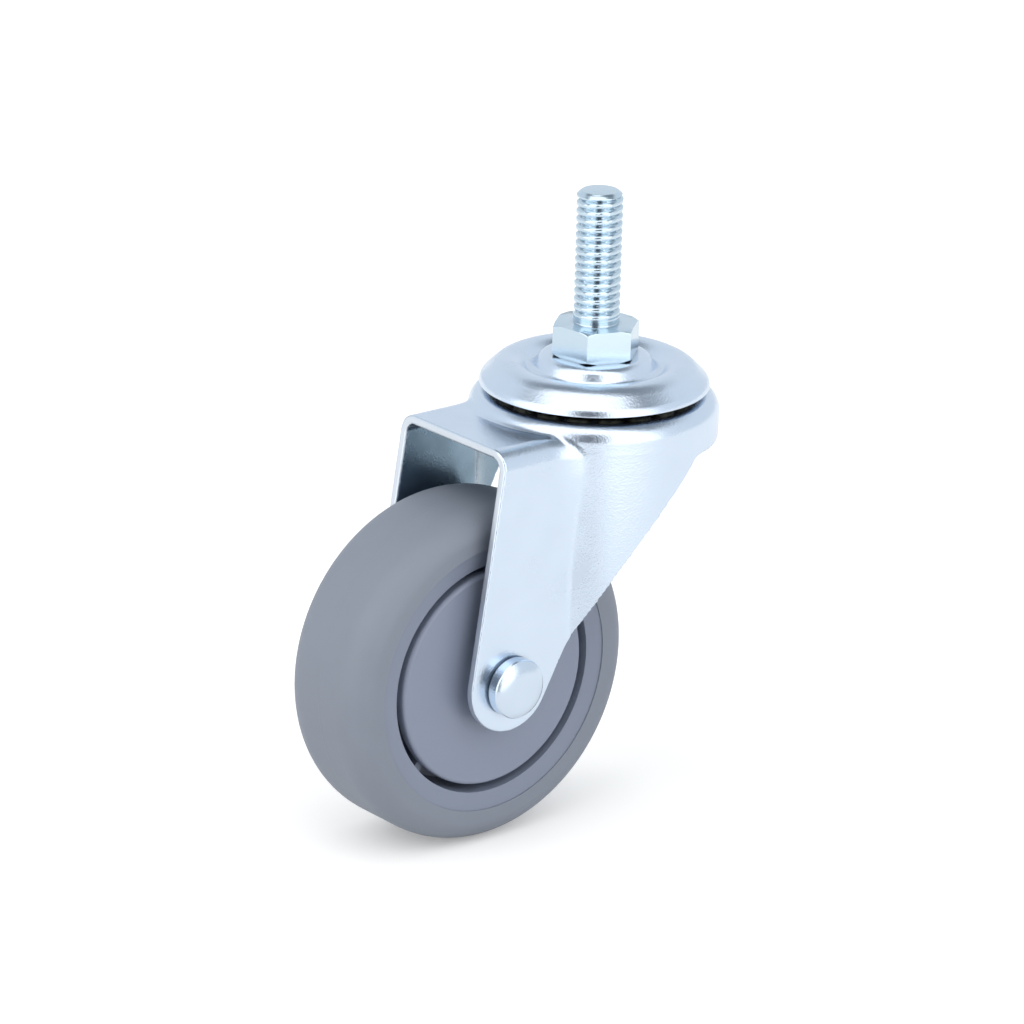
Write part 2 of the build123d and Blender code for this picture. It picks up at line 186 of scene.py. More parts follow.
def make_plated_skin():
    """Cloudy tint, uneven gloss and fine grain of zinc plating, with painted shade in its crevices.
    """
    group, inlet, out = new_group(
        "plated_skin",
        [
            ("Tint", "NodeSocketColor", (0.7, 0.8, 0.9, 1)),
            ("Clouds", "NodeSocketFloat", 0.05),
            ("Gloss", "NodeSocketFloat", 0.2),
            ("Grain Size", "NodeSocketFloat", 0.4),
            ("Grain Depth", "NodeSocketFloat", 0.2),
            ("Stretch", "NodeSocketVector", (1, 1, 1)),
            ("Crevices", "NodeSocketFloat", 0.75),
        ],
        skin_outputs,
    )
    given = inlet.outputs
    place = wire(group, "ShaderNodeTexCoord").outputs["Object"]
    cloud = wire(group, "ShaderNodeTexNoise", Vector=place, Scale=130.0, Detail=4.0).outputs["Fac"]
    # Painted shade: the tint darkens in crevices, where ambient occlusion finds surfaces close by
    openness = wire(
        group, "ShaderNodeAmbientOcclusion", {"samples": 4}, Distance=painted_shade_reach
    ).outputs["AO"]
    closed = remap(group, openness, 0.1, 0.62, 1.0, 0.0)
    shade = calculate(
        group, "MULTIPLY", faded(group, cloud, given["Clouds"]),
        faded(group, closed, given["Crevices"]),
    )
    drawn = wire(
        group, "ShaderNodeVectorMath", {"operation": "MULTIPLY"}, _0=place, _1=given["Stretch"]
    ).outputs[0]
    grain = grain_noise(group, drawn, given["Grain Size"], 3.0)
    gloss = calculate(group, "MULTIPLY", given["Gloss"], remap(group, cloud, 0.3, 0.7, 0.85, 1.2))
    bump = wire(
        group, "ShaderNodeBump", Height=grain, Strength=given["Grain Depth"], Distance=grain_height
    )
    group.links.new(scaled(group, given["Tint"], shade), out.inputs["Color"])
    group.links.new(gloss, out.inputs["Roughness"])
    group.links.new(bump.outputs[0], out.inputs["Normal"])
    return group


# %% Moulded skin
ridge_half_width, ridge_height = 0.25 * mm, 0.08 * mm


def make_moulded_skin():
    """Faint colour clouds and fine matt grain of moulded rubber or plastic, with a parting line."""
    group, inlet, out = new_group(
        "moulded_skin",
        [
            ("Tint", "NodeSocketColor", (0.3, 0.3, 0.3, 1)),
            ("Clouds", "NodeSocketFloat", 0.06),
            ("Roughness", "NodeSocketFloat", 0.6),
            ("Grain Size", "NodeSocketFloat", 0.3),
            ("Grain Depth", "NodeSocketFloat", 0.2),
            ("Parting Line", "NodeSocketFloat", 0.0),
        ],
        skin_outputs,
    )
    given = inlet.outputs
    place = wire(group, "ShaderNodeTexCoord").outputs["Object"]
    cloud = wire(group, "ShaderNodeTexNoise", Vector=place, Scale=90.0, Detail=5.0).outputs["Fac"]
    tinted = scaled(group, given["Tint"], faded(group, cloud, given["Clouds"]))
    grain = grain_noise(group, place, given["Grain Size"], 2.0)
    rough = calculate(
        group, "MULTIPLY", given["Roughness"], remap(group, grain, 0.3, 0.7, 0.92, 1.08)
    )
    # The mould's halves meet in the plane y = 0
    along = wire(group, "ShaderNodeSeparateXYZ", _0=place).outputs[1]
    ridge = remap(group, calculate(group, "ABSOLUTE", along), 0.0, ridge_half_width, 1.0, 0.0)
    ridge = calculate(group, "MULTIPLY", ridge, given["Parting Line"])
    bump = wire(
        group, "ShaderNodeBump", Height=grain, Strength=given["Grain Depth"], Distance=grain_height
    )
    bump = wire(
        group, "ShaderNodeBump", Height=ridge, Strength=0.6, Distance=ridge_height,
        Normal=bump.outputs[0],
    )
    group.links.new(tinted, out.inputs["Color"])
    group.links.new(rough, out.inputs["Roughness"])
    group.links.new(bump.outputs[0], out.inputs["Normal"])
    return group


plated_skin = make_plated_skin()
moulded_skin = make_moulded_skin()

# %% [markdown]
# ## Finishes
# Each finish is one Principled BSDF fed by one of the groups. Metals differ in tint and gloss;
# zinc with a clear blue passivation is a cool, slightly satin mirror. The fork's finish also reads
# two attributes of the fork's mesh, which say where the sheet was sheared and where it faces in;
# where it faces in, a darker tint paints shade into the fork's hollow.

# %% Finishes
def finish(name, group, metallic=0.0, specular=0.5, **values):
    """A material whose colour, roughness and normal come from a shared group."""
    material = bpy.data.materials.new(name)
    material.use_nodes = True
    tree = material.node_tree
    shader = tree.nodes["Principled BSDF"]
    shader.inputs["Metallic"].default_value = metallic
    shader.inputs["Specular IOR Level"].default_value = specular
    skin = tree.nodes.new("ShaderNodeGroup")
    skin.node_tree = group
    for key, value in values.items():
        skin.inputs[key.replace("_", " ")].default_value = value
    tree.links.new(skin.outputs["Color"], shader.inputs["Base Color"])
    tree.links.new(skin.outputs["Roughness"], shader.inputs["Roughness"])
    tree.links.new(skin.outputs["Normal"], shader.inputs["Normal"])
    return material


sheet_grain = {"Grain_Size": 0.45, "Grain_Depth": 0.8}
sheet_look = {"Tint": (0.70, 0.80, 0.93, 1), "Gloss": 0.24, "Clouds": 0.06}
look_at_place = {
    "sheared": {"Tint": (0.73, 0.79, 0.86, 1), "Gloss": 0.42, "Clouds": 0.12},
    # Painted shade: the sheet's inner side gets a darker tint
    "inside": {"Tint": (0.28, 0.39, 0.49, 1), "Gloss": 0.26, "Clouds": 0.4},
}
zinc = finish("blue_zinc", plated_skin, 1.0, **sheet_look, **sheet_grain)
# The stem's finish takes the strongest painted crevice shade, in its thread and under the hexagon
turned_zinc = finish(
    "turned_zinc", plated_skin, 1.0, Tint=(0.62, 0.75, 0.85, 1), Clouds=0.06, Gloss=0.2,
    Grain_Size=0.5, Grain_Depth=0.15, Crevices=0.95,
)
headed_zinc = finish(
    "headed_zinc", plated_skin, 1.0, Tint=(0.68, 0.78, 0.90, 1), Clouds=0.08, Gloss=0.2,
    Grain_Size=0.35, Grain_Depth=0.6, Stretch=(1, 0.08, 1),
)
bearing_steel = finish(
    "bearing_steel", plated_skin, 1.0, Tint=(0.52, 0.50, 0.46, 1), Clouds=0.3, Gloss=0.22,
    Grain_Size=0.6, Grain_Depth=0.1,
)
tread_rubber = finish(
    "grey_rubber", moulded_skin, Tint=(0.252, 0.282, 0.342, 1), Clouds=0.1, Roughness=0.55,
    Grain_Size=0.25, Grain_Depth=0.15, Parting_Line=1.0,
)
core_plastic = finish(
    "rim_plastic", moulded_skin, Tint=(0.245, 0.280, 0.365, 1), Clouds=0.06, Roughness=0.38,
    Grain_Size=0.4, Grain_Depth=0.1,
)
cover_plastic = finish(
    "cover_plastic", moulded_skin, Tint=(0.265, 0.303, 0.400, 1), Clouds=0.06, Roughness=0.34,
    Grain_Size=0.4, Grain_Depth=0.1,
)
greasy_steel = finish(
    "greasy_steel", plated_skin, 1.0, Tint=(0.13, 0.12, 0.08, 1), Clouds=0.5, Gloss=0.35,
    Grain_Size=0.8, Grain_Depth=0.1,
)


def make_pressed_zinc():
    """Zinc on the fork's sheet: satin on its sheared edges, and darker inside as painted shade."""
    material = finish("pressed_zinc", plated_skin, 1.0, **sheet_grain)
    tree = material.node_tree
    skin = next(node for node in tree.nodes if node.type == "GROUP")
    look = dict(sheet_look)
    for place, look_there in look_at_place.items():
        share = wire(tree, "ShaderNodeAttribute", {"attribute_name": place}).outputs["Fac"]
        look["Tint"] = wire(
            tree, "ShaderNodeMix", {"data_type": "RGBA"}, _0=share, _6=look["Tint"],
            _7=look_there["Tint"],
        ).outputs[2]
        for key in ("Gloss", "Clouds"):
            look[key] = wire(
                tree, "ShaderNodeMix", _0=share, _2=look[key], _3=look_there[key]
            ).outputs[0]
    for name, value in look.items():
        tree.links.new(value, skin.inputs[name])
    return material


pressed_zinc = make_pressed_zinc()
finish_of_node = {
    "upper_balls": greasy_steel, "lower_balls": greasy_steel,
    "top_cap": zinc, "lower_race": zinc, "fork": zinc, "threaded_stem": turned_zinc,
    "axle_rivet": headed_zinc, "tread": tread_rubber, "wheel_core": core_plastic,
    "left_cover": cover_plastic, "right_cover": cover_plastic,
    "left_spacer": turned_zinc, "right_spacer": turned_zinc, "centre_spacer": turned_zinc,
}
for name, node in nodes.items():
    node.data.materials.clear()
    node.data.materials.append(finish_of_node.get(name, bearing_steel))
print("finishes given to", len(nodes), "CAD nodes")

# %% [markdown]
# ## Turned stem with a rolled thread
# The stem starts as a turned blank: a closed lathe mesh with a round collar where the hexagon will
# be. One Geometry Nodes tree then does what the factory does. It mills six flats on the collar and
# rolls the thread, by moving each point in or out along its radius. Its inputs are the sizes.

# %% Mesh helpers
def arc_points(centre, radius, start, end, count):
    """Points on an arc in the plane of the section, angles in degrees."""
    angles = np.radians(np.linspace(start, end, count))
    return [(centre[0] + radius * math.cos(a), centre[1] + radius * math.sin(a)) for a in angles]


def lathe(name, rows, angles):
    """A closed turned mesh about Z, from (radius, height) rows in mm; both ends are on the axis."""
    columns = len(angles)
    ring = np.stack([np.cos(angles), np.sin(angles)], axis=1)
    points = [(0.0, 0.0, rows[0][1])]
    for radius, height in rows[1:-1]:
        points.extend((radius * x, radius * y, height) for x, y in ring)
    points.append((0.0, 0.0, rows[-1][1]))
    faces = []
    ring_count = len(rows) - 2
    for i in range(columns):
        j = (i + 1) % columns
        faces.append((0, 1 + j, 1 + i))
        for k in range(ring_count - 1):
            low, high = 1 + k * columns, 1 + (k + 1) * columns
            faces.append((low + i, low + j, high + j, high + i))
        last = 1 + (ring_count - 1) * columns
        faces.append((last + i, last + j, len(points) - 1))
    mesh = bpy.data.meshes.new(name)
    mesh.from_pydata([(x * mm, y * mm, z * mm) for x, y, z in points], [], faces)
    piece = bpy.data.objects.new(name, mesh)
    scene.collection.objects.link(piece)
    return piece


def bake(piece):
    """Turn what the piece's modifiers make into its plain mesh."""
    graph = bpy.context.evaluated_depsgraph_get()
    mesh = bpy.data.meshes.new_from_object(piece.evaluated_get(graph))
    piece.modifiers.clear()
    piece.data = mesh
    return mesh


def low_dome(radius, height, rim, count):
    """Rows of a dome that hangs below its rim, from the pole to the rim."""
    ball = (radius**2 + height**2) / (2 * height)
    pole = rim - height
    reach = math.degrees(math.asin(radius / ball))
    return [(0.0, pole)] + arc_points((0, pole + ball), ball, -88, -90 + reach, count)


# %% Stem blank
thread_radius = 5.0
neck_radius = 4.93
neck_height = 1.0
neck_fillet = 0.4
shoulder_height = 0.6
stem_length = 29.2
tip_radius = 4.1
tip_round = 0.25
row_step = 0.15
shank_radius = 6.0
tail_radius = 4.5
tail_top = -20.19
tail_bottom = -22.19
peened_radius = 7.0
peened_height = 3.0
hex_apothem = 8.5
hex_height = 7.0
hex_face_radius = 8.925
hex_blank_radius = 9.9
hex_turn = math.radians(39.3)


def stem_blank():
    """The turned stem: peened head, tail, shank, round collar, neck and thread blank."""
    rows = low_dome(peened_radius, peened_height, tail_bottom, 14)
    rows += [(tail_radius, tail_bottom), (tail_radius, tail_top)]
    rows += [(shank_radius, tail_top), (shank_radius, -hex_height)]
    chamfer = math.tan(math.radians(60))
    depth = (hex_blank_radius - hex_face_radius) / chamfer
    steps = np.linspace(0, depth, 10)
    rows += [(hex_face_radius + d * chamfer, -hex_height + d) for d in steps]
    side_heights = np.linspace(-hex_height + depth + 0.2, -depth - 0.2, 12)
    rows += [(hex_blank_radius, z) for z in side_heights]
    rows += [(hex_face_radius + d * chamfer, -d) for d in steps[::-1]]
    rows += [(neck_radius + neck_fillet, 0.0)]
    rows += arc_points((neck_radius + neck_fillet, neck_fillet), neck_fillet, -120, -180, 4)
    rows += [(neck_radius, 0.8), (neck_radius, neck_height)]
    rows += [
        (neck_radius + (thread_radius - neck_radius) * t, neck_height + shoulder_height * t)
        for t in (0.33, 0.67, 1.0)
    ]
    thread_foot = neck_height + shoulder_height + row_step
    rows += [(thread_radius, z) for z in np.arange(thread_foot, stem_length - 1.0, row_step)]
    tip_heights = np.arange(stem_length - 0.9, stem_length - 0.2, 0.12)
    rows += [(tip_radius + stem_length - z, z) for z in tip_heights]
    rows += arc_points((tip_radius - tip_round, stem_length - tip_round), tip_round, 30, 90, 4)
    rows.append((0.0, stem_length))
    # Extra columns beside the six corners keep their edges crisp
    corners = hex_turn + np.radians(60) * np.arange(6)[:, None]
    beside = (corners + np.radians([-0.9, -0.45, 0.45, 0.9])).ravel()
    angles = np.sort(np.concatenate([hex_turn + np.radians(1.5) * np.arange(240), beside]))
    return lathe("stem_with_thread", rows, angles)


# %% Thread and hexagon tree
# Where the groove's root ends and the crest begins on the way up, and how full the flank is between
root_share, crest_share, flank_fullness = 0.06, 0.66, 0.85


def mill_and_roll():
    """A tree that mills six flats below the face and rolls a right-hand thread above it."""
    tree = bpy.data.node_groups.new("mill_and_roll", "GeometryNodeTree")
    made = tree.interface.new_socket
    made("Geometry", in_out="INPUT", socket_type="NodeSocketGeometry")
    sizes = {}
    for name, value in (
        ("Apothem", hex_apothem * mm), ("Flat Heading", hex_turn + math.radians(30)),
        ("Edge Softness", 0.06 * mm), ("Pitch", 1.77 * mm), ("Depth", 0.62 * mm),
        ("Crest Radius", thread_radius * mm), ("Start", 1.1 * mm), ("Run In", 1.6 * mm),
    ):
        socket = made(name, in_out="INPUT", socket_type="NodeSocketFloat")
        sizes[name] = (socket.identifier, value)
    made("Finish", in_out="INPUT", socket_type="NodeSocketMaterial")
    made("Geometry", in_out="OUTPUT", socket_type="NodeSocketGeometry")
    given = tree.nodes.new("NodeGroupInput").outputs

    def maths(operation, *values):
        return calculate(tree, operation, *values)

    place = wire(tree, "GeometryNodeInputPosition").outputs[0]
    parts = wire(tree, "ShaderNodeSeparateXYZ", _0=place).outputs
    turn = maths("ARCTAN2", parts[1], parts[0])
    flat = wire(tree, "ShaderNodeCombineXYZ", _0=parts[0], _1=parts[1]).outputs[0]
    radius = wire(tree, "ShaderNodeVectorMath", {"operation": "LENGTH"}, _0=flat).outputs["Value"]
    # Mill: six flats, each 60 degrees wide
    sixth = math.radians(30)
    across = maths("WRAP", maths("SUBTRACT", turn, given["Flat Heading"]), sixth, -sixth)
    face = maths("DIVIDE", given["Apothem"], maths("COSINE", across))
    milled = maths("SMOOTH_MIN", radius, face, given["Edge Softness"])
    # Roll: the crest climbs one pitch in each turn
    climbed = maths("DIVIDE", parts[2], given["Pitch"])
    turns = maths("SUBTRACT", climbed, maths("DIVIDE", turn, 2 * math.pi))
    wave = maths("PINGPONG", maths("MULTIPLY", turns, 2.0), 1.0)
    crest = maths("POWER", remap(tree, wave, root_share, crest_share), flank_fullness)
    full_depth = maths("ADD", given["Start"], given["Run In"])
    begin = remap(tree, parts[2], given["Start"], full_depth, kind="SMOOTHSTEP")
    depth = maths("MULTIPLY", maths("SUBTRACT", 1.0, crest), given["Depth"])
    cut = maths("MULTIPLY", depth, begin)
    rolled = maths("MINIMUM", radius, maths("SUBTRACT", given["Crest Radius"], cut))
    above = maths("GREATER_THAN", parts[2], 0.05 * mm)
    wanted = wire(
        tree, "GeometryNodeSwitch", {"input_type": "FLOAT"}, Switch=above, _1=milled, _2=rolled
    ).outputs[0]
    share = maths("DIVIDE", wanted, maths("MAXIMUM", radius, 0.001 * mm))
    moved = wire(tree, "ShaderNodeSeparateXYZ", _0=scaled(tree, flat, share)).outputs
    target = wire(tree, "ShaderNodeCombineXYZ", _0=moved[0], _1=moved[1], _2=parts[2]).outputs[0]
    shaped = wire(tree, "GeometryNodeSetPosition", Geometry=given["Geometry"], Position=target)
    real = wire(tree, "GeometryNodeRealizeInstances", _0=shaped.outputs[0])
    painted = wire(tree, "GeometryNodeSetMaterial", _0=real.outputs[0], Material=given["Finish"])
    wire(tree, "NodeGroupOutput", _0=painted.outputs[0])
    return tree, sizes


def make_stem():
    """The stem, milled, rolled and plated."""
    piece = stem_blank()
    tree, sizes = mill_and_roll()
    work = piece.modifiers.new("mill_and_roll", "NODES")
    work.node_group = tree
    for identifier, value in sizes.values():
        work[identifier] = value
    finish_socket = tree.interface.items_tree["Finish"].identifier
    work[finish_socket] = turned_zinc
    mesh = bake(piece)
    mesh.shade_smooth()
    mesh.set_sharp_from_angle(angle=math.radians(38))
    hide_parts("threaded_stem")
    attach(piece, "stem")
    return piece


def in_mm(*lengths):
    """Lengths in rounded mm, for printing."""
    return [round(length / mm, 2) for length in lengths]


stem_piece = make_stem()
print("stem faces:", len(stem_piece.data.polygons), "box in mm:", in_mm(*stem_piece.dimensions))

# %% [markdown]
# ## Axle rivet
# The rivet's head is cold formed: a drawn rim with fine streaks along the axle, and a dome that is
# nearly flat in the middle and bends down at its edge. It is a lathe mesh too, laid along the axle.

# %% Rivet
axle_x, axle_z = -35.7, -69.7
axle_radius = 4.0
fork_half = 17.7
head_radius, head_rim, head_dome, head_chamfer = 6.5, 2.9, 1.5, 0.6
head_edge_in, head_edge_down = 0.12, 0.15
dome_fullness = 4
formed_radius, formed_height = 6.2, 2.6


def make_rivet():
    """The rivet from the formed head to the domed head, which faces the camera's side."""
    rows = low_dome(formed_radius, formed_height, -fork_half, 12)
    rows += [(axle_radius, -fork_half), (axle_radius, fork_half)]
    rows += [(head_radius - head_chamfer, fork_half), (head_radius, fork_half + head_chamfer)]
    rim_top = fork_half + head_rim
    rows += [(head_radius, rim_top - head_edge_down), (head_radius - head_edge_in, rim_top)]
    spread = np.linspace(0.97, 0.03, 24)
    rows += [(head_radius * t, rim_top + head_dome * (1 - t**dome_fullness)) for t in spread]
    rows.append((0.0, rim_top + head_dome))
    piece = lathe("domed_rivet", rows, np.radians(np.arange(0, 360, 3)))
    laid = Matrix.Rotation(math.radians(90), 4, "X")
    axle_place = Vector((axle_x, 0, axle_z)) * mm
    piece.data.transform(Matrix.Translation(axle_place) @ laid)
    piece.data.shade_smooth()
    piece.data.set_sharp_from_angle(angle=math.radians(25))
    piece.data.materials.append(headed_zinc)
    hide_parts("axle_rivet")
    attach(piece, "fork")
    return piece


make_rivet()

# %% [markdown]
# ## The pressed fork
# A press rounds what CAD draws sharp: the cut edges of the sheet, and the foot of the crown where
# it rises from the shelf. The fork's form is written down as a distance field, with a rolling ball
# for each such round. A copy of the CAD fork is remeshed evenly, and every point is then moved on
# to the field's surface, whose slope also gives the normals. All lengths here are in mm.

# %% Fork sizes
sheet = 2.0
crown_radius = 27.0
crown_face = -15.05
crown_shoulder = 3.6
shelf = -17.54
shelf_bend = 4.4
flare_radius = 10.0
crown_foot = 1.0
edge_round = 0.42
groove_lip = 0.3
leg_end = np.array([axle_x, axle_z])
leg_end_radius = 10.4
axle_hole_radius = 4.05
crown_hole_radius = 7.2
crown_hole_lip = 0.3
upper_track, upper_ball_height, upper_race = 18.5, -13.35, 3.05
lower_track, lower_ball_height, lower_race = 11.0, -18.59, 2.43
front_knee = np.array([-38.7, -20.94])
front_knee_radius = 25.0
rear_knee = np.array([-8.1, -40.8])
rear_knee_radius = 98.0
skirt_corner = np.array([7.2, -24.55])
skirt_corner_radius = 3.0
skirt_from = -3.0
wall_draft, draft_start = 0.115, 6.0


# %% Distance helpers
def join(a, b, facing, ball):
    """Union of two fields, with a ball rolled along the seam; facing is their normals' cosine."""
    ga, gb = ball - a, ball - b
    spread = 1 - facing**2
    safe = np.where(spread > 1e-4, spread, 1.0)
    reach = np.sqrt(np.maximum(ga**2 + gb**2 - 2 * ga * gb * facing, 0) / safe)
    inside = (spread > 1e-4) & (ga > gb * facing) & (gb > ga * facing)
    return np.where(inside, ball - reach, np.minimum(a, b))


def melt(a, b, facing, width):
    """Union of two fields with a blend of that width, whatever angle they meet at."""
    reach = width * np.sqrt(np.maximum(2 - 2 * facing, 0)) + 1e-6
    near = np.maximum(1 - np.abs(a - b) / reach, 0)
    return np.minimum(a, b) - near**2 * reach / 4


def trim(a, b, ball):
    """Intersection of two fields, with the outer edge rounded."""
    near = np.hypot(np.maximum(a + ball, 0), np.maximum(b + ball, 0))
    return near + np.minimum(np.maximum(a, b), -ball)


def slope_of(field, p, step=1e-3):
    """Gradient of a field at many points, by small differences."""
    parts = []
    for axis in range(3):
        shift = np.zeros(3)
        shift[axis] = step
        parts.append((field(p + shift) - field(p - shift)) / (2 * step))
    return np.stack(parts, axis=1)


def tangent_direction(point, side):
    """Unit direction from a knee to where its line touches the leg's round end."""
    to_centre = leg_end - point
    far = np.hypot(*to_centre)
    heading = math.atan2(to_centre[1], to_centre[0]) + side * math.asin(leg_end_radius / far)
    return np.array([math.cos(heading), math.sin(heading)])


def line_distance(x, z, point, direction, side):
    """Distance from a line in the side view, positive on its outer side."""
    return side * ((x - point[0]) * -direction[1] + (z - point[1]) * direction[0])


# %% Fork field
front_way = tangent_direction(front_knee, -1)
rear_way = tangent_direction(rear_knee, 1)
skirt_way = (rear_knee - skirt_corner) / np.hypot(*(rear_knee - skirt_corner))


def plan_field(p):
    """Seen from above: the channel's strip and the crown's circle, with the flare between them."""
    x, y = p[:, 0], np.abs(p[:, 1])
    radius = np.maximum(np.hypot(x, y), 1e-6)
    strip = np.maximum(y - fork_half, x)
    below = np.maximum(skirt_corner[1] - p[:, 2], 0)
    circle = radius - crown_radius + wall_draft * below**2 / (below + draft_start)
    return join(strip, circle, np.where(x < 0, y / radius, 1.0), flare_radius)


def channel_field(p):
    """The channel under the shelf, with its long bends."""
    return trim(plan_field(p), p[:, 2] - shelf, shelf_bend)


def crown_field(p):
    """The round crown that stands a little above the shelf."""
    return trim(np.hypot(p[:, 0], p[:, 1]) - crown_radius, p[:, 2] - crown_face, crown_shoulder)


def outside_field(p):
    """The top side of the sheet: channel and crown, then the grooves for the two rings of balls."""
    channel, crown = channel_field(p), crown_field(p)
    normals = [slope_of(field, p) for field in (channel_field, crown_field)]
    lengths = [np.maximum(np.linalg.norm(n, axis=1), 1e-6) for n in normals]
    facing = np.sum(normals[0] * normals[1], axis=1) / (lengths[0] * lengths[1])
    form = melt(channel, crown, np.clip(facing, -1, 1), crown_foot)
    radius = np.hypot(p[:, 0], p[:, 1])
    groove = upper_race - np.hypot(radius - upper_track, p[:, 2] - upper_ball_height)
    ridge = np.hypot(radius - lower_track, p[:, 2] - lower_ball_height) - lower_race - sheet
    return np.minimum(trim(form, groove, groove_lip), ridge)


def side_field(p):
    """Seen from the side: where the sheet is cut."""
    x, z = p[:, 0], p[:, 2]
    front = join(
        front_knee[0] - x, line_distance(x, z, front_knee, front_way, -1),
        -front_way[1], front_knee_radius,
    )
    rear = line_distance(x, z, rear_knee, rear_way, 1)
    skirt = line_distance(x, z, skirt_corner, skirt_way, 1)
    rear = join(rear, skirt, float(rear_way @ skirt_way), rear_knee_radius)
    skirt = join(skirt, skirt_corner[1] - z, -float(skirt_way[0]), skirt_corner_radius)
    rear = np.where(x > skirt_from, skirt, rear)
    from_end = np.stack([x - leg_end[0], z - leg_end[1]], axis=1)
    round_end = np.hypot(from_end[:, 0], from_end[:, 1]) - leg_end_radius
    at_end = (from_end @ front_way > 0) & (from_end @ rear_way > 0)
    return np.where(at_end, round_end, np.maximum(front, rear))


def fork_field(p):
    """The whole fork, in mm: the sheet, cut to its outline, with its holes."""
    sheet_body = np.abs(outside_field(p) + sheet / 2) - sheet / 2
    body = trim(sheet_body, side_field(p), edge_round)
    body = trim(body, crown_hole_radius - np.hypot(p[:, 0], p[:, 1]), crown_hole_lip)
    hole = axle_hole_radius - np.hypot(p[:, 0] - leg_end[0], p[:, 2] - leg_end[1])
    return np.maximum(body, hole)


# %% Make the fork
mesh_grain = 0.435 * mm  # keeps the fork under 200,000 triangles
smoothing_passes = 3
longest_step = 0.25
least_slope = 0.2


def settle(points, rounds):
    """Move points on to the field's surface, straight along its slope."""
    for _ in range(rounds):
        value = fork_field(points)
        slope = slope_of(fork_field, points)
        steep = np.maximum(np.sum(slope**2, axis=1), least_slope)
        step = np.clip(value / steep, -longest_step, longest_step)
        points = points - step[:, None] * slope
    return points


def ramp(value, low, high):
    """0 below low, 1 above high, smooth between."""
    share = np.clip((value - low) / (high - low), 0, 1)
    return share**2 * (3 - 2 * share)


def sheet_places(points):
    """How far each point belongs to the sheared edges and to the inside of the sheet."""
    # In mm: how deep in the sheet from its outer side, and how far out past the cut outline
    depth, beyond = -outside_field(points), side_field(points)
    sheared = ramp(depth, 0.1, 0.45) * ramp(beyond, -0.5, -0.15)
    # The inner side, where the finish paints shade with a darker tint
    inside = ramp(depth, sheet - 0.4, sheet - 0.1) * ramp(-beyond, 0.25, 0.7)
    return {"sheared": sheared, "inside": inside}


def even_copy(node, name):
    """A copy of a CAD node's object with an even mesh, a little coarse in form."""
    mesh = node.data.copy()
    soup = bmesh.new()
    soup.from_mesh(mesh)
    bmesh.ops.remove_doubles(soup, verts=soup.verts, dist=1e-6)
    soup.to_mesh(mesh)
    soup.free()
    piece = bpy.data.objects.new(name, mesh)
    scene.collection.objects.link(piece)
    even = piece.modifiers.new("even", "REMESH")
    even.mode = "VOXEL"
    even.voxel_size = mesh_grain
    bake(piece)
    return piece


def settled_points(mesh):
    """The mesh's points in mm, laid on the field and evened out along it."""
    count = len(mesh.vertices)
    points = np.empty(count * 3)
    mesh.vertices.foreach_get("co", points)
    points = points.reshape(-1, 3) / mm
    edges = np.empty(len(mesh.edges) * 2, dtype=np.int64)
    mesh.edges.foreach_get("vertices", edges)
    a, b = edges.reshape(-1, 2).T
    valence = np.bincount(edges, minlength=count)[:, None]
    points = settle(points, 6)
    for _ in range(smoothing_passes):
        total = np.stack(
            [
                np.bincount(a, points[b, k], count) + np.bincount(b, points[a, k], count)
                for k in range(3)
            ],
            axis=1,
        )
        points = settle(0.5 * points + 0.5 * total / valence, 3)
    return settle(points, 3)


def make_fork():
    """A remeshed copy of the CAD fork, laid on the field's surface."""
    piece = even_copy(nodes["fork"], "pressed_fork")
    mesh = piece.data
    points = settled_points(mesh)
    slope = slope_of(fork_field, points)
    slope /= np.maximum(np.linalg.norm(slope, axis=1), 1e-6)[:, None]
    mesh.vertices.foreach_set("co", (points * mm).ravel())
    mesh.update()
    mesh.shade_smooth()
    mesh.normals_split_custom_set_from_vertices(slope)
    mesh.materials.clear()
    mesh.materials.append(pressed_zinc)
    for name, share in sheet_places(points).items():
        attribute = mesh.attributes.new(name, "FLOAT", "POINT")
        attribute.data.foreach_set("value", share.astype(np.float32))
    left_over = float(np.percentile(np.abs(fork_field(points)), 99.9))
    print("fork points:", len(points), "off the surface in mm:", round(left_over, 4))
    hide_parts("fork")
    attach(piece, "fork")
    return piece


make_fork()

# %% [markdown]
# ## The studio
# Polished metal shows what stands round it, so the light is what makes it look like metal. The
# castor stands in a white tent, on a white sweep that keeps its soft shadow. The front of the tent
# is the brightest, with a dark gap that the camera looks in by, and its ceiling is dim at the back.
# Those few panels give zinc its white patches, its dark ones and its pale flats.

# %% Floor
floor_height = cad_low.z
floor_reach = 20.0
floor_front = 0.27
floor_colour = (0.82, 0.81, 0.79)
floor_lift, mirrored_lift = 0.42, 0.27
shadow_reach = 25 * mm
lift_in_shadow = 0.5
towards_camera = (camera.location - aim_point).normalized()
camera_heading = Vector((towards_camera.x, towards_camera.y, 0)).normalized()
camera_right = Vector((-camera_heading.y, camera_heading.x, 0))


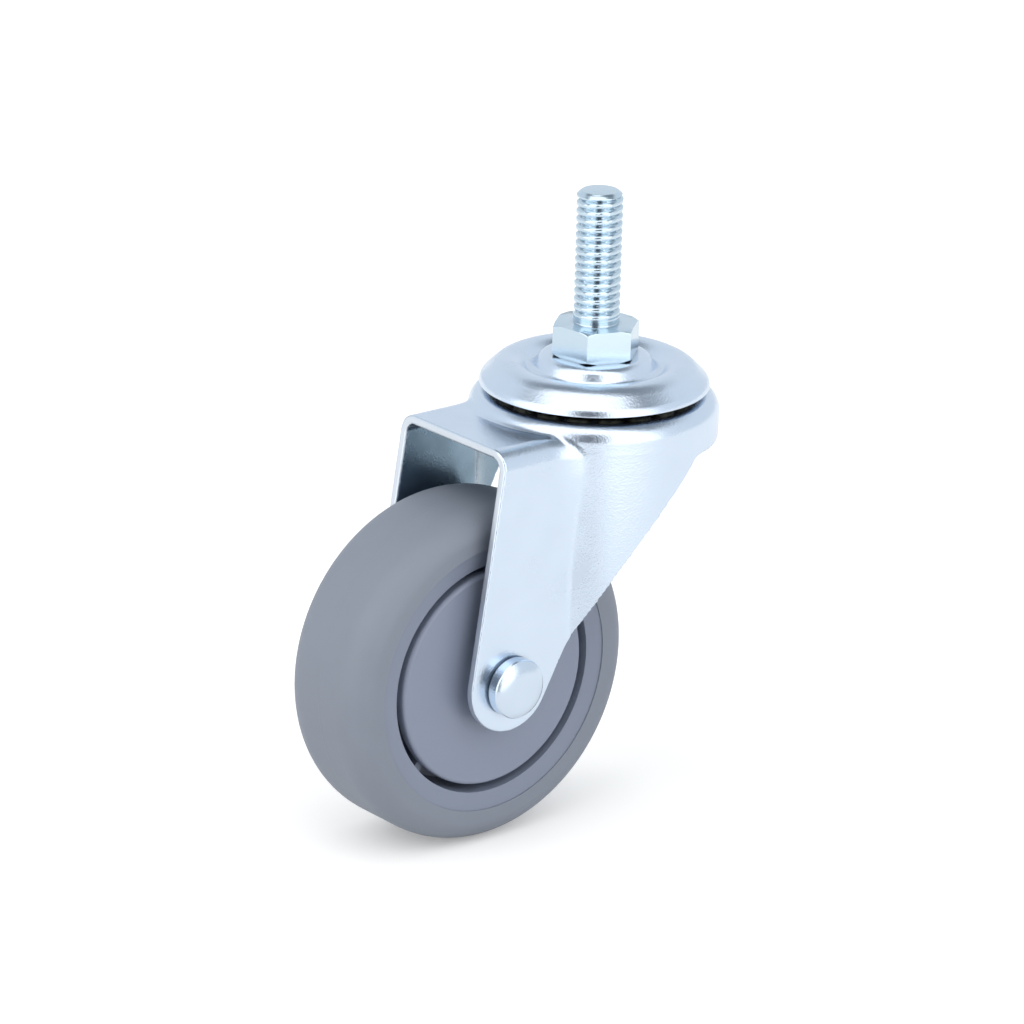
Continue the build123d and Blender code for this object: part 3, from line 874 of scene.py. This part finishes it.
def make_floor():
    """A large white sweep that keeps the shadow and ends a little in front of the picture."""
    mesh = bpy.data.meshes.new("floor")
    corners = [
        camera_heading * depth + camera_right * side + Vector((0, 0, floor_height))
        for depth, side in (
            (floor_front, -floor_reach), (floor_front, floor_reach),
            (-floor_reach, floor_reach), (-floor_reach, -floor_reach),
        )
    ]
    mesh.from_pydata(corners, [], [(0, 1, 2, 3)])
    floor = bpy.data.objects.new("floor", mesh)
    scene.collection.objects.link(floor)
    material = bpy.data.materials.new("white_sweep")
    material.use_nodes = True
    tree = material.node_tree
    shader = tree.nodes["Principled BSDF"]
    shader.inputs["Base Color"].default_value = (*floor_colour, 1)
    shader.inputs["Roughness"].default_value = 1.0
    shader.inputs["Specular IOR Level"].default_value = 0.0
    # A faint glow lifts the sweep to white for the camera, and less where the castor is near: a
    # painted contact shadow
    path = wire(tree, "ShaderNodeLightPath").outputs
    openness = wire(tree, "ShaderNodeAmbientOcclusion", {"samples": 8}, Distance=shadow_reach)
    near = remap(tree, openness.outputs["AO"], 0.0, 1.0, lift_in_shadow, 1.0)
    seen = calculate(tree, "MULTIPLY", path["Is Camera Ray"], floor_lift)
    mirrored = calculate(tree, "MULTIPLY", path["Is Glossy Ray"], mirrored_lift)
    lift = calculate(tree, "MULTIPLY", calculate(tree, "ADD", seen, mirrored), near)
    glow = wire(tree, "ShaderNodeEmission", Strength=lift)
    both = wire(tree, "ShaderNodeAddShader", _0=shader.outputs[0], _1=glow.outputs[0])
    tree.links.new(both.outputs[0], tree.nodes["Material Output"].inputs["Surface"])
    mesh.materials.append(material)
    return floor


make_floor()

# %% World
# Directions in degrees from where the camera stands: right and up are positive
tent_tone = (0.80, 0.85, 0.90)
panels = [
    # turn, height, softness, colour
    ((-200, 200), (-95, -6), 5, (0.74, 0.78, 0.83)),  # below the edge of the sweep
    ((-200, 200), (53, 100), 9, (0.25, 0.28, 0.31)),  # dim ceiling
    ((-80, 58), (-14, 100), 9, (1.7, 1.7, 1.7)),  # bright front of the tent
    ((-98, 42), (64, 100), 9, (1.6, 1.6, 1.6)),  # overhead light, to the left
    ((-17, 9), (-9, 46), 7, (0.10, 0.11, 0.13)),  # dark gap where the camera looks in
]


def make_world():
    """White to the camera; for light and reflections a ring of panels, soft at their edges."""
    world = bpy.data.worlds.new("studio")
    scene.world = world
    world.use_nodes = True
    tree = world.node_tree
    tree.nodes.clear()

    def maths(operation, *values):
        return calculate(tree, operation, *values)

    def band(value, low, high, soft):
        """1 between low and high, falling to 0 within the soft width on each side."""
        rise = remap(tree, value, low - soft, low, kind="SMOOTHSTEP")
        fall = remap(tree, value, high, high + soft, 1.0, 0.0, kind="SMOOTHSTEP")
        return maths("MULTIPLY", rise, fall)

    def along(direction):
        """How far the way looked goes in that direction."""
        return wire(
            tree, "ShaderNodeVectorMath", {"operation": "DOT_PRODUCT"}, _0=way, _1=direction
        ).outputs["Value"]

    way = wire(tree, "ShaderNodeTexCoord").outputs["Generated"]
    turn = maths("DEGREES", maths("ARCTAN2", along(camera_right), along(camera_heading)))
    upward = wire(tree, "ShaderNodeSeparateXYZ", _0=way).outputs[2]
    height = maths("DEGREES", maths("ARCSINE", upward))
    tone = wire(tree, "ShaderNodeRGB").outputs[0]
    tone.default_value = (*tent_tone, 1)
    for (left, right), (low, high), soft, colour in panels:
        cover = maths("MULTIPLY", band(turn, left, right, soft), band(height, low, high, soft))
        tone = wire(
            tree, "ShaderNodeMix", {"data_type": "RGBA"}, _0=cover, _6=tone, _7=(*colour, 1)
        ).outputs[2]
    path = wire(tree, "ShaderNodeLightPath")
    tent = wire(tree, "ShaderNodeBackground", Color=tone, Strength=1.0)
    white = wire(tree, "ShaderNodeBackground", Color=(1, 1, 1, 1), Strength=1.0)
    pick = wire(
        tree, "ShaderNodeMixShader", _0=path.outputs["Is Camera Ray"], _1=tent.outputs[0],
        _2=white.outputs[0],
    )
    wire(tree, "ShaderNodeOutputWorld", Surface=pick.outputs[0])


make_world()
